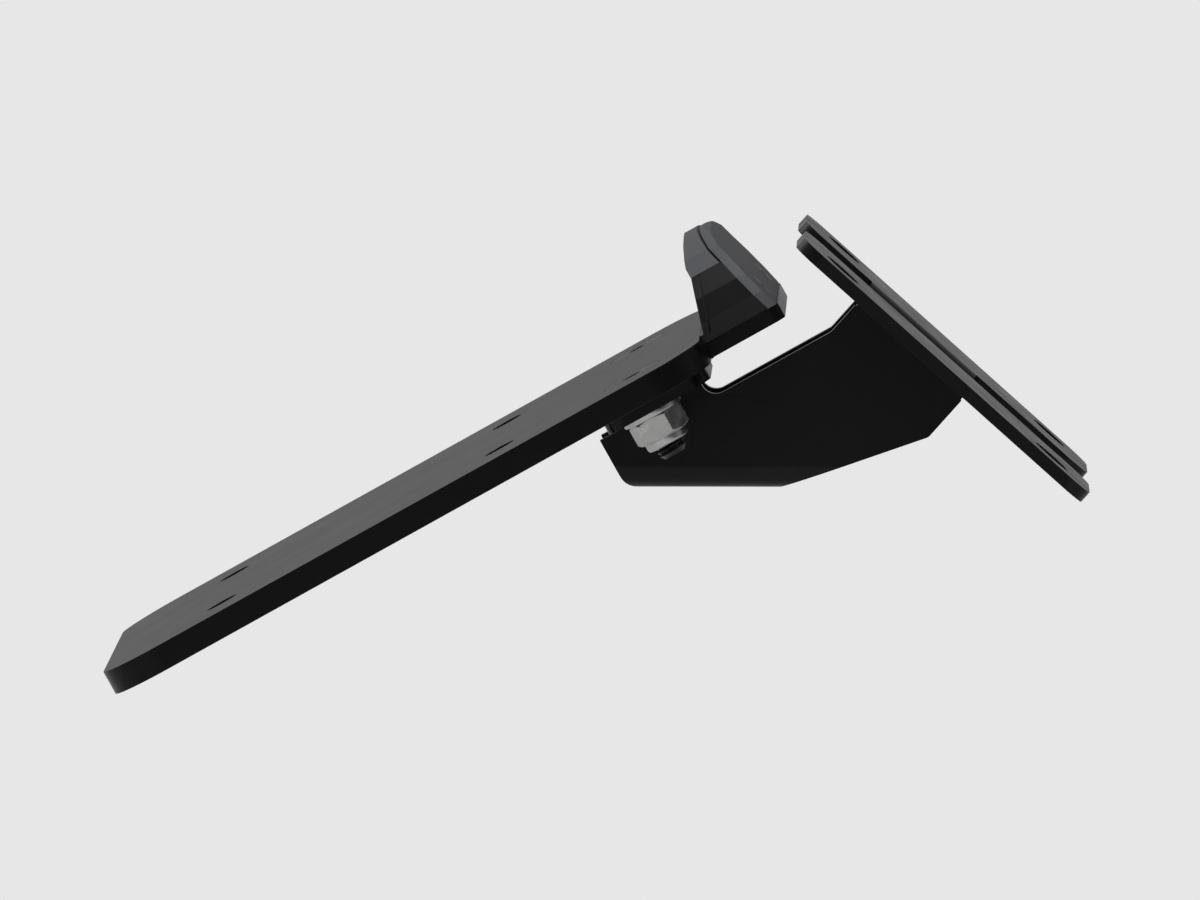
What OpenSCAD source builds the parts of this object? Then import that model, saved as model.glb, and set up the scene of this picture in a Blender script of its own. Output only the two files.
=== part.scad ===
/* [Angles] */
// Slope of the tail's underside, down towards the front of the bike
tail_angle = 41.8; // [30:0.2:50]
// Slope of the number plate, down towards the rear of the bike
holder_angle = 29.2; // [20:0.2:36]

/* [Number plate holder] */
// Length of the plate, without the tongue under the lamp
holder_l = 107; // [90:1:140]
// Width of the plate
holder_w = 84; // [80:1:120]
// Thickness of the plate
holder_t = 4; // [3.5:0.25:6]
// Radius of the plate's corners
holder_r = 10; // [4:0.5:14]
// Distance of the plate's top end behind the middle of the tail bolts
holder_reach = 38.9; // [36:0.1:42]
// Height of the plate's top end above the middle of the tail bolts
holder_rise = 4.3; // [3:0.1:7]
// Spacing of the four holes for the number plate, both ways
plate_hole_pitch = 50; // [40:1:56]
// Diameter of those holes
plate_hole_d = 5.3; // [4:0.1:6.4]
// Distance from the plate's top end to the first pair of those holes
plate_hole_start = 36; // [34:1:40]

/* [Tongue] */
// Width of the tongue under the lamp
tongue_w = 46; // [45:0.5:47]
// Length of the tongue beyond the plate's top end
tongue_l = 13.2; // [12.8:0.1:14.2]
// Depth of the seat milled into the tongue for the lamp
seat_depth = 1.5; // [1:0.1:1.8]

/* [Mount bracket] */
// Thickness of the sheet
sheet_t = 2; // [1.5:0.1:2.2]
// Inside radius of every fold
fold_r = 1.5; // [1:0.1:2]
// Outside width of the channel between the two blades
channel_w = 12; // [11:0.5:16]
// Length of each blade along the tail, where it meets the tail
neck_l = 22.6; // [20:0.2:25]
// Distance of the neck's middle behind the middle of the tail bolts
neck_back = 4.8; // [3:0.2:6]
// Height of the blades' lower edge below the middle of the tail bolts
belly_drop = 21.2; // [20:0.2:24]
// Distance of the end of that edge behind the middle of the tail bolts
belly_front = 26.4; // [24:0.2:30]
// Slope of the blades' front lower edge
chin_angle = 19.2; // [15:0.2:24]
// Radius of the blades' lower rear corner
heel_r = 3.2; // [1:0.1:5]
// Distance of the blades' rear edge below the plate's top end, along the plate
blade_back = 22.7; // [21.5:0.1:24]
// Height of the slot between the plate's underside and the blades
slot_h = 6.6; // [6:0.1:7.5]
// Distance of the slot's closed end below the plate's top end, along the plate
slot_back = 4.3; // [3.3:0.1:4.8]
// Radius of the slot's closed end
slot_r = 2.4; // [1:0.1:3]

/* [Flanges under the plate] */
// Length of each flange along the plate
flange_l = 18.2; // [17:0.1:19]
// Distance of the flanges' top end below the plate's top end
flange_back = 1.2; // [0.5:0.1:2]
// Distance from the middle to each flange's outer edge
flange_reach = 36; // [34:0.5:39]
// Distance from the middle to each plate bolt
bolt_y = 28; // [26:0.5:30]
// Distance of the plate bolts below the plate's top end
bolt_back = 12.1; // [11:0.1:13]

/* [Ears under the tail] */
// Spacing of the tail bolts, both ways
tail_pitch = 44; // [42:0.5:48]
// Diameter of the tail bolt holes
tail_hole_d = 6.6; // [5.3:0.1:7]
// Metal left round the tail bolt holes, from each hole's middle
ear_margin = 8; // [7:0.5:10]

/* [Plate bolts] */
// Thread diameter of the plate bolts
bolt_d = 5; // [4:0.5:5]
// Length of the plate bolts, head included
bolt_l = 14; // [14:0.5:18]
// Clearance of a bolt in its hole, on the diameter
bolt_clear = 0.3; // [0.2:0.05:0.5]
// Diameter of the countersunk heads
bolt_head_d = 10; // [9:0.1:10.6]
// Width of the nuts across their flats
nut_af = 8; // [7:0.1:8.5]
// Height of the nuts
nut_h = 5; // [4:0.1:5.5]
// Outer diameter of the washers
washer_d = 10; // [9:0.1:11]
// Thickness of the washers
washer_t = 1; // [0.8:0.1:1.4]

/* [Lamp] */
// Greatest width of the lamp
lamp_w = 50; // [49:0.5:54]
// Height of the joint between the lamp's body and its crown, above the plate
lamp_split = 8.6; // [8:0.1:9.2]
// Height of the crown's top above the plate, in the middle
crown_top = 13.9; // [13:0.1:14.6]
// Lean of the lens away from upright
lens_lean = 16.5; // [14:0.5:18]
// Lean of the front plate away from upright
front_lean = 15.5; // [12:0.5:16]
// Depth of the lamp's foot, from the plate's end to the lens
foot_l = 0.7; // [0.5:0.1:1.2]
// Thickness of the lens
lens_t = 1; // [0.8:0.1:1.2]
// Thickness of the gasket under the lens
gasket_t = 0.3; // [0.2:0.1:0.5]
// Thickness of the lamp's front plate
front_t = 1.5; // [1.2:0.1:1.8]
// Width of the pocket for the circuit board
pocket_w = 31; // [29:0.5:32]
// Depth of that pocket
pocket_depth = 2.2; // [1.9:0.1:2.4]
// Thickness of the circuit board
board_t = 0.8; // [0.6:0.1:1]
// Number of light-emitting diodes on the board
led_count = 3; // [1:1:3]
// Spacing of those diodes
led_pitch = 8; // [7:0.1:8.2]
// Diameter of the lamp's cable
cable_d = 3; // [2.5:0.1:3.4]

/* [Hidden] */
$fn = 64;
eps = 0.01;
overcut = 20;

// Sheet metal
outer_r = fold_r + sheet_t;
half_channel = channel_w / 2;
fold_start = half_channel + fold_r;
fold_relief = 0.4;
fold_inset = 0.2;
fold_leg = 2;
edge_r = 1.5;
channel_top = 60;
channel_l = 200;
neck_rear = -neck_back - neck_l / 2;
neck_front = -neck_back + neck_l / 2;
flange_corner = 3;
ear_corner = 4;

// Plate bolts
thread_r = bolt_d / 2;
bolt_hole_r = (bolt_d + bolt_clear) / 2;
head_r = bolt_head_d / 2;
head_h = head_r - thread_r;
head_land = 0.2;
bolt_socket_af = 3;
bolt_socket_depth = 1.6;
thread_chamfer = 0.6;
bolt_edge = 6;
bolt_line = min(bolt_y, flange_reach - bolt_edge);
nut_hex_h = nut_h * 0.72;
nut_collar_r = nut_af / 2 - 0.45;
insert_wall = 0.75;
insert_r = thread_r + insert_wall;
nut_lip = 0.3;
insert_h = nut_h - nut_hex_h - nut_lip;
nut_chamfer = 0.5;
nut_chamfer_h = 0.3;

// Lamp
end_x = 0;
foot_top = 0;
lens_x = end_x + foot_l;
lamp_base = -seat_depth;
half_lamp = lamp_w / 2;
half_tongue = tongue_w / 2;
tongue_corner = 2;
tongue_root = 4;
rear_stack = (lens_t + gasket_t) / cos(lens_lean);
front_skin = front_t / cos(front_lean);
front_inset = 0.2;
front_x = end_x + tongue_l - front_inset;
facet_low = 1.6;
facet_high = 5.3;
shoulder_y = half_lamp - 2;
crown_end_y = shoulder_y - 1.2;
crown_drop = 2.4;
crown_gap = 0.3;
crown_rear_l = 1.5;
crown_edge = 0.9;
hood_bow = 0.5;
hood_set = 0.6;
front_drop = 0.2;
front_edge = 0.8;
pocket_low = 1.3;
pocket_high = 7.1;
screw_y = (pocket_w / 2 + half_lamp) / 2 - 0.7;
grommet_x = lens_x + 3.9;
grommet_wall = 1.5;
grommet_r = cable_d / 2 + grommet_wall;
grommet_lip = 1.2;
grommet_lip_h = 1;
cable_rise = 1.5;
seal_gap = 0.1;
small_r = 1;
small_head_r = 1.9;
lens_head_r = 1.4;
lens_screw_h = 4.6;
lens_screw_bite = 2.5;
screw_end_gap = 0.1;
board_screw_edge = 1.9;
mount_screw_r = 1.5;
mount_head_r = 2.9;
mount_screw_tip = pocket_low - 0.3;
mount_screw_x = lens_x + 4;
mount_screw_edge = 3.5;
mount_screw_y = min(half_tongue, half_lamp) - mount_screw_edge;
peg_r = 1;
peg_l = 2;
peg_clear = 0.1;
board_screw_y = pocket_w / 2 - board_screw_edge;
board_screw_r = 0.8;
board_head_r = 1.4;
board_head_h = 0.6;
board_screw_l = 1.8;
chip_side = 3;
front_screw_y = half_lamp - 11.5;
front_screw_h = 1.6;
front_screw_bite = 2.1;
led_size = 3;
led_h = 0.7;
chip_l = 2;
chip_w = 1.25;
chip_h = 0.5;

// A point given along the tail (t, to the front) and out of it (n), in the side view
function tail_pt(t, n) =
    [t * cos(tail_angle) + n * sin(tail_angle), -t * sin(tail_angle) + n * cos(tail_angle)];

// A point given along the plate (u, to the front) and out of its face (v), in the side view
function holder_pt(u, v) =
    [-holder_reach + u * cos(holder_angle) - v * sin(holder_angle),
     holder_rise + u * sin(holder_angle) + v * cos(holder_angle)];

// The meeting point of two lines, each given by a point and its direction's angle
function meet(p, a, q, b) =
    let (k = ((q[0] - p[0]) * sin(b) - (q[1] - p[1]) * cos(b)) / sin(b - a))
    [p[0] + k * cos(a), p[1] + k * sin(a)];

// The arc that rounds the corner b of the path a, b, c with radius r
function fillet(a, b, c, r, n = 12) =
    let (ta = atan2(a[1] - b[1], a[0] - b[0]),
         tc = atan2(c[1] - b[1], c[0] - b[0]),
         turn = ((tc - ta + 540) % 360) - 180,
         half = abs(turn) / 2,
         mid = ta + turn / 2,
         centre = b + r / sin(half) * [cos(mid), sin(mid)],
         from = ta - sign(turn) * 90,
         sweep = sign(turn) * (180 - 2 * half))
    [for (i = [0:n]) centre + r * [cos(from - sweep * i / n), sin(from - sweep * i / n)]];

module on_tail() {
    rotate([0, tail_angle, 0])
        children();
}

module on_holder() {
    translate([-holder_reach, 0, holder_rise])
        rotate([0, -holder_angle, 0])
            children();
}

module both_sides() {
    children();
    mirror([0, 1, 0])
        children();
}

// A side view drawing, in x and z, given a width centred on y
module across(width) {
    translate([0, width / 2, 0])
        rotate([90, 0, 0])
            linear_extrude(width)
                children();
}

// A rectangle with four round corners, made of true arcs
module round_rect(l, w, r) {
    square([l - 2 * r, w], center = true);
    square([l, w - 2 * r], center = true);
    for (x = [-1, 1])
        for (y = [-1, 1])
            translate([x * (l / 2 - r), y * (w / 2 - r)])
                circle(r);
}

// The blades' front and rear lower corners before they are rounded, in the side view
function belly_end() = [-belly_front, -belly_drop];
function heel() = meet(holder_pt(-blade_back, 0), 90 + holder_angle, belly_end(), 0);

// One blade in the side view: the straight legs of the upper folds overlap it
module blade_outline() {
    top = -outer_r - fold_relief;
    neck_a = tail_pt(neck_rear, top);
    neck_b = tail_pt(neck_front, top);
    chin = meet(neck_b, 90 - tail_angle, belly_end(), chin_angle);
    back_top = holder_pt(-blade_back, -holder_t + top);
    slot_top = holder_pt(-slot_back, -holder_t + top);
    slot_low = holder_pt(-slot_back, -holder_t - slot_h);
    throat = meet(slot_low, holder_angle, neck_a, 90 - tail_angle);
    polygon(concat(
        [neck_a],
        fillet(neck_a, throat, slot_low, edge_r),
        fillet(throat, slot_low, slot_top, slot_r),
        [slot_top, back_top],
        fillet(back_top, heel(), belly_end(), heel_r),
        [belly_end()],
        fillet(belly_end(), chin, neck_b, edge_r),
        [neck_b]));
}

// Folded sheet, length l along x: a straight leg comes up along y = 0, turns outwards and
// leaves level with its upper face at z = 0
module fold(l) {
    translate([0, fold_r, -outer_r])
        rotate([90, 0, 90])
            linear_extrude(l)
                union() {
                    difference() {
                        intersection() {
                            circle(outer_r);
                            translate([-outer_r, 0])
                                square(outer_r);
                        }
                        circle(fold_r);
                    }
                    translate([-outer_r, -fold_leg])
                        square([sheet_t, fold_leg]);
                }
}

// One flange under the plate, with its bolt hole
module plate_flange() {
    reach = flange_reach - fold_start;
    translate([0, 0, -holder_t - sheet_t])
        linear_extrude(sheet_t)
            difference() {
                union() {
                    translate([-flange_back - flange_l / 2, fold_start + reach / 2])
                        round_rect(flange_l, reach, flange_corner);
                    translate([-flange_back - flange_l, fold_start])
                        square([flange_l, reach / 2]);
                }
                translate([-bolt_back, bolt_line])
                    circle(bolt_hole_r);
            }
    translate([-flange_back - flange_l, half_channel, -holder_t])
        fold(flange_l - slot_back + flange_back - fold_inset);
}

// One ear under the tail, with its two bolt holes
module tail_ear() {
    ear_l = tail_pitch + 2 * ear_margin;
    reach = tail_pitch / 2 + ear_margin - fold_start;
    translate([0, 0, -sheet_t])
        linear_extrude(sheet_t)
            difference() {
                translate([0, fold_start + reach / 2])
                    round_rect(ear_l, reach, ear_corner);
                for (x = [-1, 1])
                    translate([x * tail_pitch / 2, tail_pitch / 2])
                        circle(d = tail_hole_d);
            }
    translate([neck_rear + fold_inset, half_channel, 0])
        fold(neck_l - 2 * fold_inset);
}

// The channel's section: two walls, and the web folded between them at the foot
module channel_section() {
    inner = half_channel - outer_r;
    for (y = [-1, 1]) {
        translate([y * (half_channel - sheet_t / 2), outer_r + channel_top / 2])
            square([sheet_t, channel_top], center = true);
        translate([y * inner, outer_r])
            difference() {
                intersection() {
                    circle(outer_r);
                    translate([min(0, y) * outer_r, -outer_r])
                        square(outer_r);
                }
                circle(fold_r);
            }
    }
    translate([-inner, 0])
        square([2 * inner, sheet_t]);
}

// Both blades and their web: the folded section, cut to the blades' outline
module channel() {
    intersection() {
        across(channel_w)
            blade_outline();
        translate([-channel_l / 2, 0, -belly_drop])
            rotate([90, 0, 90])
                linear_extrude(channel_l)
                    channel_section();
    }
}

module mount_bracket() {
    color([0.09, 0.09, 0.1])
        union() {
            channel();
            both_sides() {
                on_holder() plate_flange();
                on_tail() tail_ear();
            }
        }
}

// Plate, tongue and seat, with countersunk bolt holes and the number plate's holes
module plate_holder() {
    color([0.13, 0.13, 0.14])
        on_holder()
            difference() {
                translate([0, 0, -holder_t])
                    linear_extrude(holder_t)
                        union() {
                            translate([-holder_l / 2, 0])
                                round_rect(holder_l, holder_w, holder_r);
                            translate([(tongue_l - tongue_root) / 2, 0])
                                round_rect(tongue_l + tongue_root, tongue_w, tongue_corner);
                        }
                translate([end_x, -half_tongue - 1, -seat_depth])
                    cube([tongue_l + 1, tongue_w + 2, seat_depth + 1]);
                both_sides()
                    translate([-bolt_back, bolt_line, 0]) {
                        translate([0, 0, -holder_t - 1])
                            cylinder(r = bolt_hole_r, h = holder_t + 2);
                        translate([0, 0, -head_land - head_h])
                            cylinder(r1 = thread_r, r2 = head_r, h = head_h);
                        translate([0, 0, -head_land])
                            cylinder(r = head_r, h = head_land + 1);
                    }
                for (x = [0, 1])
                    for (y = [-1, 1])
                        translate([-plate_hole_start - x * plate_hole_pitch,
                                   y * plate_hole_pitch / 2, -holder_t - 1])
                            cylinder(d = plate_hole_d, h = holder_t + 2);
                both_sides()
                    translate([mount_screw_x, mount_screw_y, -holder_t]) {
                        translate([0, 0, -1])
                            cylinder(r = mount_screw_r + seal_gap, h = holder_t + 2);
                        mount_countersink();
                    }
                translate([grommet_x, 0, -holder_t - 1])
                    cylinder(r = grommet_r, h = holder_t + 2);
            }
}

module mount_countersink() {
    cylinder(r1 = mount_head_r, r2 = mount_screw_r, h = mount_head_r - mount_screw_r);
}

module holder_bolts() {
    color([0.2, 0.2, 0.21])
        on_holder()
            both_sides()
                translate([-bolt_back, bolt_line, 0])
                    difference() {
                        union() {
                            translate([0, 0, -head_land])
                                cylinder(r = head_r - bolt_clear / 2, h = head_land);
                            translate([0, 0, -head_land - head_h + bolt_clear / 2])
                                cylinder(r1 = thread_r, r2 = head_r - bolt_clear / 2,
                                         h = head_h - bolt_clear / 2);
                            translate([0, 0, -bolt_l + thread_chamfer])
                                cylinder(r = thread_r, h = bolt_l - thread_chamfer - head_h);
                            translate([0, 0, -bolt_l])
                                cylinder(r1 = thread_r - thread_chamfer, r2 = thread_r,
                                         h = thread_chamfer);
                        }
                        translate([0, 0, -bolt_socket_depth])
                            cylinder(d = bolt_socket_af / cos(30), h = bolt_socket_depth + 1,
                                     $fn = 6);
                    }
}

module holder_washers() {
    color("silver")
        on_holder()
            both_sides()
                translate([-bolt_back, bolt_line, -holder_t - sheet_t - washer_t])
                    difference() {
                        cylinder(d = washer_d, h = washer_t);
                        translate([0, 0, -1])
                            cylinder(r = bolt_hole_r, h = washer_t + 2);
                    }
}

// Lock nuts: a chamfered hexagon with a round collar that holds the nylon ring
module holder_nuts() {
    corner_r = nut_af / 2 / cos(30);
    color("silver")
        on_holder()
            both_sides()
                translate([-bolt_back, bolt_line, -holder_t - sheet_t - washer_t])
                    mirror([0, 0, 1])
                        difference() {
                            union() {
                                intersection() {
                                    rotate([0, 0, 30])
                                        cylinder(r = corner_r, h = nut_hex_h, $fn = 6);
                                    union() {
                                        cylinder(r1 = corner_r - nut_chamfer, r2 = corner_r,
                                                 h = nut_chamfer_h);
                                        translate([0, 0, nut_chamfer_h])
                                            cylinder(r = corner_r + eps,
                                                     h = nut_hex_h - 2 * nut_chamfer_h);
                                        translate([0, 0, nut_hex_h - nut_chamfer_h])
                                            cylinder(r1 = corner_r, r2 = corner_r - nut_chamfer,
                                                     h = nut_chamfer_h);
                                    }
                                }
                                cylinder(r = nut_collar_r, h = nut_h);
                            }
                            translate([0, 0, -1])
                                cylinder(r = thread_r, h = nut_h + 2);
                            translate([0, 0, nut_h - insert_h - nut_lip])
                                cylinder(r = insert_r, h = insert_h);
                        }
}

module nut_inserts() {
    color("white")
        on_holder()
            both_sides()
                translate([-bolt_back, bolt_line, -holder_t - sheet_t - washer_t - nut_h + nut_lip])
                    difference() {
                        cylinder(r = insert_r, h = insert_h);
                        translate([0, 0, -1])
                            cylinder(r = thread_r, h = insert_h + 2);
                    }
}

// The lamp's cross-section, seen along the plate: five facets a side
module lamp_section(inset = 0) {
    right = [[half_tongue - inset, lamp_base],
             [half_lamp - inset, facet_low],
             [half_lamp - inset, facet_high],
             [shoulder_y - inset, lamp_split],
             [crown_end_y - inset, crown_top + 1]];
    polygon(concat(right, [for (i = [len(right) - 1:-1:0]) [-right[i][0], right[i][1]]]));
}

module lamp_prism(inset = 0) {
    rotate([90, 0, 90])
        linear_extrude(tongue_l + 2)
            lamp_section(inset);
}

// x of the lens's outer face, and of the front plate's outer face, at a height
function lens_face(z) = lens_x + z * tan(lens_lean);
function front_face(z) = front_x - (z - lamp_base) * tan(front_lean);

// A slab that follows the lens's lean, from depth a to depth b behind its outer face,
// between two heights above the foot
module lens_slab(a, b, low, high, width) {
    across(width)
        polygon([[lens_face(low) + a / cos(lens_lean), low],
                 [lens_face(low) + b / cos(lens_lean), low],
                 [lens_face(high) + b / cos(lens_lean), high],
                 [lens_face(high) + a / cos(lens_lean), high]]);
}

// Places its children on the lens's outer face, at a side distance and a height, with
// z pointing into the lamp
module at_lens(y, h) {
    translate([lens_face(h), y, h])
        rotate([0, 90 + lens_lean, 0])
            children();
}

// Places its children on the front plate's outer face, with z pointing into the lamp
module at_front(y, h) {
    translate([front_face(h), y, h])
        rotate([0, -90 - front_lean, 0])
            children();
}

// A countersunk screw along z, its flat head at z = 0, with a hexagon socket
module flat_screw(l, r, head) {
    difference() {
        union() {
            cylinder(r1 = head, r2 = r, h = head - r);
            cylinder(r = r, h = l);
        }
        translate([0, 0, -1])
            cylinder(r = r * 0.6, h = 1 + (head - r), $fn = 6);
    }
}

// The hole that such a screw fills
module flat_screw_hole(l, r, head) {
    translate([0, 0, -1])
        cylinder(r = head, h = 1);
    cylinder(r1 = head, r2 = r, h = head - r);
    cylinder(r = r, h = l);
}

module light_body() {
    stack = lens_t + gasket_t;
    color([0.16, 0.16, 0.17])
        on_holder()
            difference() {
                intersection() {
                    across(lamp_w + 2)
                        polygon([[end_x, lamp_base],
                                 [end_x, foot_top],
                                 [lens_face(foot_top) + rear_stack, foot_top],
                                 [lens_face(lamp_split) + rear_stack, lamp_split],
                                 [front_face(lamp_split) - front_skin, lamp_split],
                                 [front_face(lamp_base) - front_skin, lamp_base]]);
                    lamp_prism();
                }
                lens_slab(stack - 1, stack + pocket_depth, pocket_low, pocket_high, pocket_w);
                translate([grommet_x, 0, lamp_base - 1])
                    cylinder(d = cable_d, h = pocket_low - lamp_base + 1 + cable_rise);
                both_sides() {
                    at_lens(screw_y, lens_screw_h)
                        cylinder(r = small_r, h = stack + lens_screw_bite + screw_end_gap);
                    translate([peg_x(), screw_y, lamp_split - peg_l - peg_clear])
                        cylinder(r = peg_r, h = lamp_split);
                    at_lens(board_screw_y, chip_height())
                        cylinder(r = board_screw_r, h = board_face() + board_t + board_screw_l);
                    translate([mount_screw_x, mount_screw_y, lamp_base - 1])
                        cylinder(r = mount_screw_r, h = mount_screw_tip - lamp_base + 1);
                    at_front(front_screw_y, front_screw_h)
                        cylinder(r = small_r, h = front_t + front_screw_bite + screw_end_gap);
                }
            }
}

// Depth of the board's front face behind the lens's outer face
function board_face() = lens_t + gasket_t + pocket_depth - board_t;

// Height on the lens of a line that meets the board in its middle
function chip_height() = (pocket_low + pocket_high) / 2 + board_face() * sin(lens_lean);

// The middle of the body's top face, where the crown's pegs enter it
function peg_x() =
    (lens_face(lamp_split) + rear_stack + front_face(lamp_split) - front_skin) / 2;

// The dome over the lamp's top, from end to end, lowered by a drop
module dome(drop = 0) {
    half = crown_end_y;
    dome_r = (half * half + crown_drop * crown_drop) / (2 * crown_drop);
    translate([-1, 0, crown_top - drop - dome_r])
        rotate([0, 90, 0])
            cylinder(r = dome_r, h = tongue_l + 2, $fn = 720);
}

// The crown: domed from end to end, bowed towards the rear, with a sloping front and
// two pegs that press into the body
module light_crown() {
    half = crown_end_y;
    bow_r = (half * half + hood_bow * hood_bow) / (2 * hood_bow);
    rear = lens_face(lamp_split) - hood_set;
    front = -front_skin - crown_gap;
    color([0.2, 0.2, 0.21])
        on_holder() {
            intersection() {
                across(lamp_w + 2)
                    polygon([[rear, lamp_split],
                             [rear + crown_rear_l, crown_top - crown_edge],
                             [rear + crown_rear_l + crown_edge, crown_top + crown_edge],
                             [front_face(crown_top + crown_edge) + front, crown_top + crown_edge],
                             [front_face(lamp_split) + front, lamp_split]]);
                lamp_prism();
                dome();
                translate([rear + bow_r, 0, lamp_split - 1])
                    cylinder(r = bow_r, h = crown_top, $fn = 720);
            }
            both_sides()
                translate([peg_x(), screw_y, lamp_split - peg_l])
                    cylinder(r = peg_r, h = peg_l + 1);
        }
}

// The front plate: flat, arched along its top like the crown, its top edge bevelled
module light_front_plate() {
    top = crown_top - front_drop;
    color([0.35, 0.35, 0.37])
        on_holder()
            difference() {
                intersection() {
                    across(lamp_w + 2)
                        polygon([[front_face(lamp_base), lamp_base],
                                 [front_face(top - front_edge), top - front_edge],
                                 [front_face(top) - front_edge, top],
                                 [front_face(top) - front_skin, top],
                                 [front_face(lamp_base) - front_skin, lamp_base]]);
                    lamp_prism();
                    dome(front_drop);
                }
                both_sides()
                    at_front(front_screw_y, front_screw_h)
                        flat_screw_hole(overcut, small_r, small_head_r);
            }
}

module light_lens() {
    color([0.8, 0.85, 0.9, 0.6])
        on_holder()
            difference() {
                intersection() {
                    lens_slab(0, lens_t, foot_top, lamp_split, lamp_w + 2);
                    translate([-1, 0, 0])
                        lamp_prism();
                }
                both_sides()
                    at_lens(screw_y, lens_screw_h)
                        flat_screw_hole(overcut, small_r, lens_head_r);
            }
}

module light_gasket() {
    color([0.06, 0.06, 0.06])
        on_holder()
            difference() {
                intersection() {
                    lens_slab(lens_t, lens_t + gasket_t, foot_top, lamp_split, lamp_w + 2);
                    lamp_prism(0.3);
                }
                lens_slab(lens_t - 1, lens_t + gasket_t + 1, pocket_low, pocket_high, pocket_w);
                both_sides()
                    at_lens(screw_y, lens_screw_h)
                        cylinder(r = small_r, h = overcut / 2);
            }
}

module light_circuit_board() {
    color([0.1, 0.35, 0.2])
        on_holder()
            difference() {
                lens_slab(board_face(), board_face() + board_t, pocket_low + seal_gap,
                          pocket_high - seal_gap, pocket_w - 2 * seal_gap);
                both_sides()
                    at_lens(board_screw_y, chip_height())
                        cylinder(r = board_screw_r, h = overcut / 2);
            }
}

module light_leds() {
    color([0.95, 0.9, 0.6])
        on_holder()
            for (i = [0:led_count - 1])
                at_lens((i - (led_count - 1) / 2) * led_pitch, chip_height())
                    translate([-led_size / 2, -led_size / 2, board_face() - led_h])
                        cube([led_size, led_size, led_h]);
}

module surface_chip(y, h) {
    at_lens(y, h)
        translate([-chip_l / 2, -chip_w / 2, board_face() - chip_h])
            cube([chip_l, chip_w, chip_h]);
}

module light_resistors() {
    color([0.1, 0.1, 0.1])
        on_holder()
            for (i = [0:led_count - 1])
                surface_chip((i - (led_count - 1) / 2) * led_pitch + chip_side, chip_height());
}

module light_diode() {
    color([0.15, 0.15, 0.15])
        on_holder()
            surface_chip(-(led_count - 1) / 2 * led_pitch - chip_side, chip_height());
}

module lens_screws() {
    color("dimgray")
        on_holder()
            both_sides()
                at_lens(screw_y, lens_screw_h)
                    flat_screw(lens_t + gasket_t + lens_screw_bite, small_r, lens_head_r);
}

// Two small screws that hold the board on the pocket's floor
module board_screws() {
    color("dimgray")
        on_holder()
            both_sides()
                at_lens(board_screw_y, chip_height())
                    translate([0, 0, board_face() - board_head_h]) {
                        difference() {
                            cylinder(r = board_head_r, h = board_head_h);
                            translate([0, 0, -1])
                                cylinder(r = board_screw_r * 0.7, h = 1 + board_head_h / 2,
                                         $fn = 6);
                        }
                        cylinder(r = board_screw_r,
                                 h = board_head_h + board_t + board_screw_l - peg_clear);
                    }
}

module front_plate_screws() {
    color("dimgray")
        on_holder()
            both_sides()
                at_front(front_screw_y, front_screw_h)
                    flat_screw(front_t + front_screw_bite, small_r, small_head_r);
}

module light_mount_screws() {
    color("dimgray")
        on_holder()
            both_sides()
                translate([mount_screw_x, mount_screw_y, -holder_t])
                    flat_screw(holder_t + mount_screw_tip - screw_end_gap, mount_screw_r,
                               mount_head_r);
}

// The cable's rubber grommet in the tongue: a sleeve with a collar under the plate
module cable_grommet() {
    color([0.05, 0.05, 0.05])
        on_holder()
            translate([grommet_x, 0, -holder_t])
                difference() {
                    union() {
                        cylinder(r = grommet_r, h = holder_t - seat_depth);
                        translate([0, 0, -grommet_lip_h])
                            cylinder(r = grommet_r + grommet_lip, h = grommet_lip_h);
                    }
                    translate([0, 0, -2])
                        cylinder(d = cable_d, h = holder_t + 2);
                }
}

mount_bracket();
plate_holder();
holder_bolts();
holder_washers();
holder_nuts();
nut_inserts();
light_body();
light_crown();
light_front_plate();
light_lens();
light_gasket();
light_circuit_board();
light_leds();
light_resistors();
light_diode();
lens_screws();
board_screws();
front_plate_screws();
light_mount_screws();
cable_grommet();
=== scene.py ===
"""Looks for a motorcycle tail tidy: bracket, number plate holder, fasteners and lamp."""

import logging
import math
from dataclasses import dataclass
from enum import Enum
from typing import Callable, Iterable, Sequence

import bmesh
import bpy
from mathutils import Matrix, Vector

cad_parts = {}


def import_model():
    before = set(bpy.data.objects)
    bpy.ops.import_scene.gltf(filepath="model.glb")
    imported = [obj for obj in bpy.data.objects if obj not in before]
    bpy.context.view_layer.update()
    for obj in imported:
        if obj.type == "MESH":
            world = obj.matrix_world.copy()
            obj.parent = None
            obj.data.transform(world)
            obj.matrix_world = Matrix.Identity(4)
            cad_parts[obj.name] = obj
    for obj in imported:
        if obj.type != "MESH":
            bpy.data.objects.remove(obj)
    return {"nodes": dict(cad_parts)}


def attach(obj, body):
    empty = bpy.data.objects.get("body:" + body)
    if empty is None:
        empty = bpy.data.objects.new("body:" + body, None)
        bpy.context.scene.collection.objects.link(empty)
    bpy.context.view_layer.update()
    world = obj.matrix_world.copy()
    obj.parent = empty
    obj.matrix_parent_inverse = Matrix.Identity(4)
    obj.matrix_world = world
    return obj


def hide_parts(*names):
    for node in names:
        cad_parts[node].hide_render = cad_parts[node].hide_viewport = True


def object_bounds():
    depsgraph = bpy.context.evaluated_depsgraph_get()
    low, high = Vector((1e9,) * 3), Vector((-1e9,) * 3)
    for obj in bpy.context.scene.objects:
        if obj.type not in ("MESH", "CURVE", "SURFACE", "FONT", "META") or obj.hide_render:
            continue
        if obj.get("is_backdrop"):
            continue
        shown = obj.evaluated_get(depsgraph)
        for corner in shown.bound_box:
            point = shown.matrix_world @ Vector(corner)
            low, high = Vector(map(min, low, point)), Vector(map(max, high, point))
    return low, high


Material = bpy.types.Material
Mesh = bpy.types.Mesh
Object = bpy.types.Object
Socket = bpy.types.NodeSocket
Tree = bpy.types.NodeTree
Corner = tuple[float, float, float]
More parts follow.
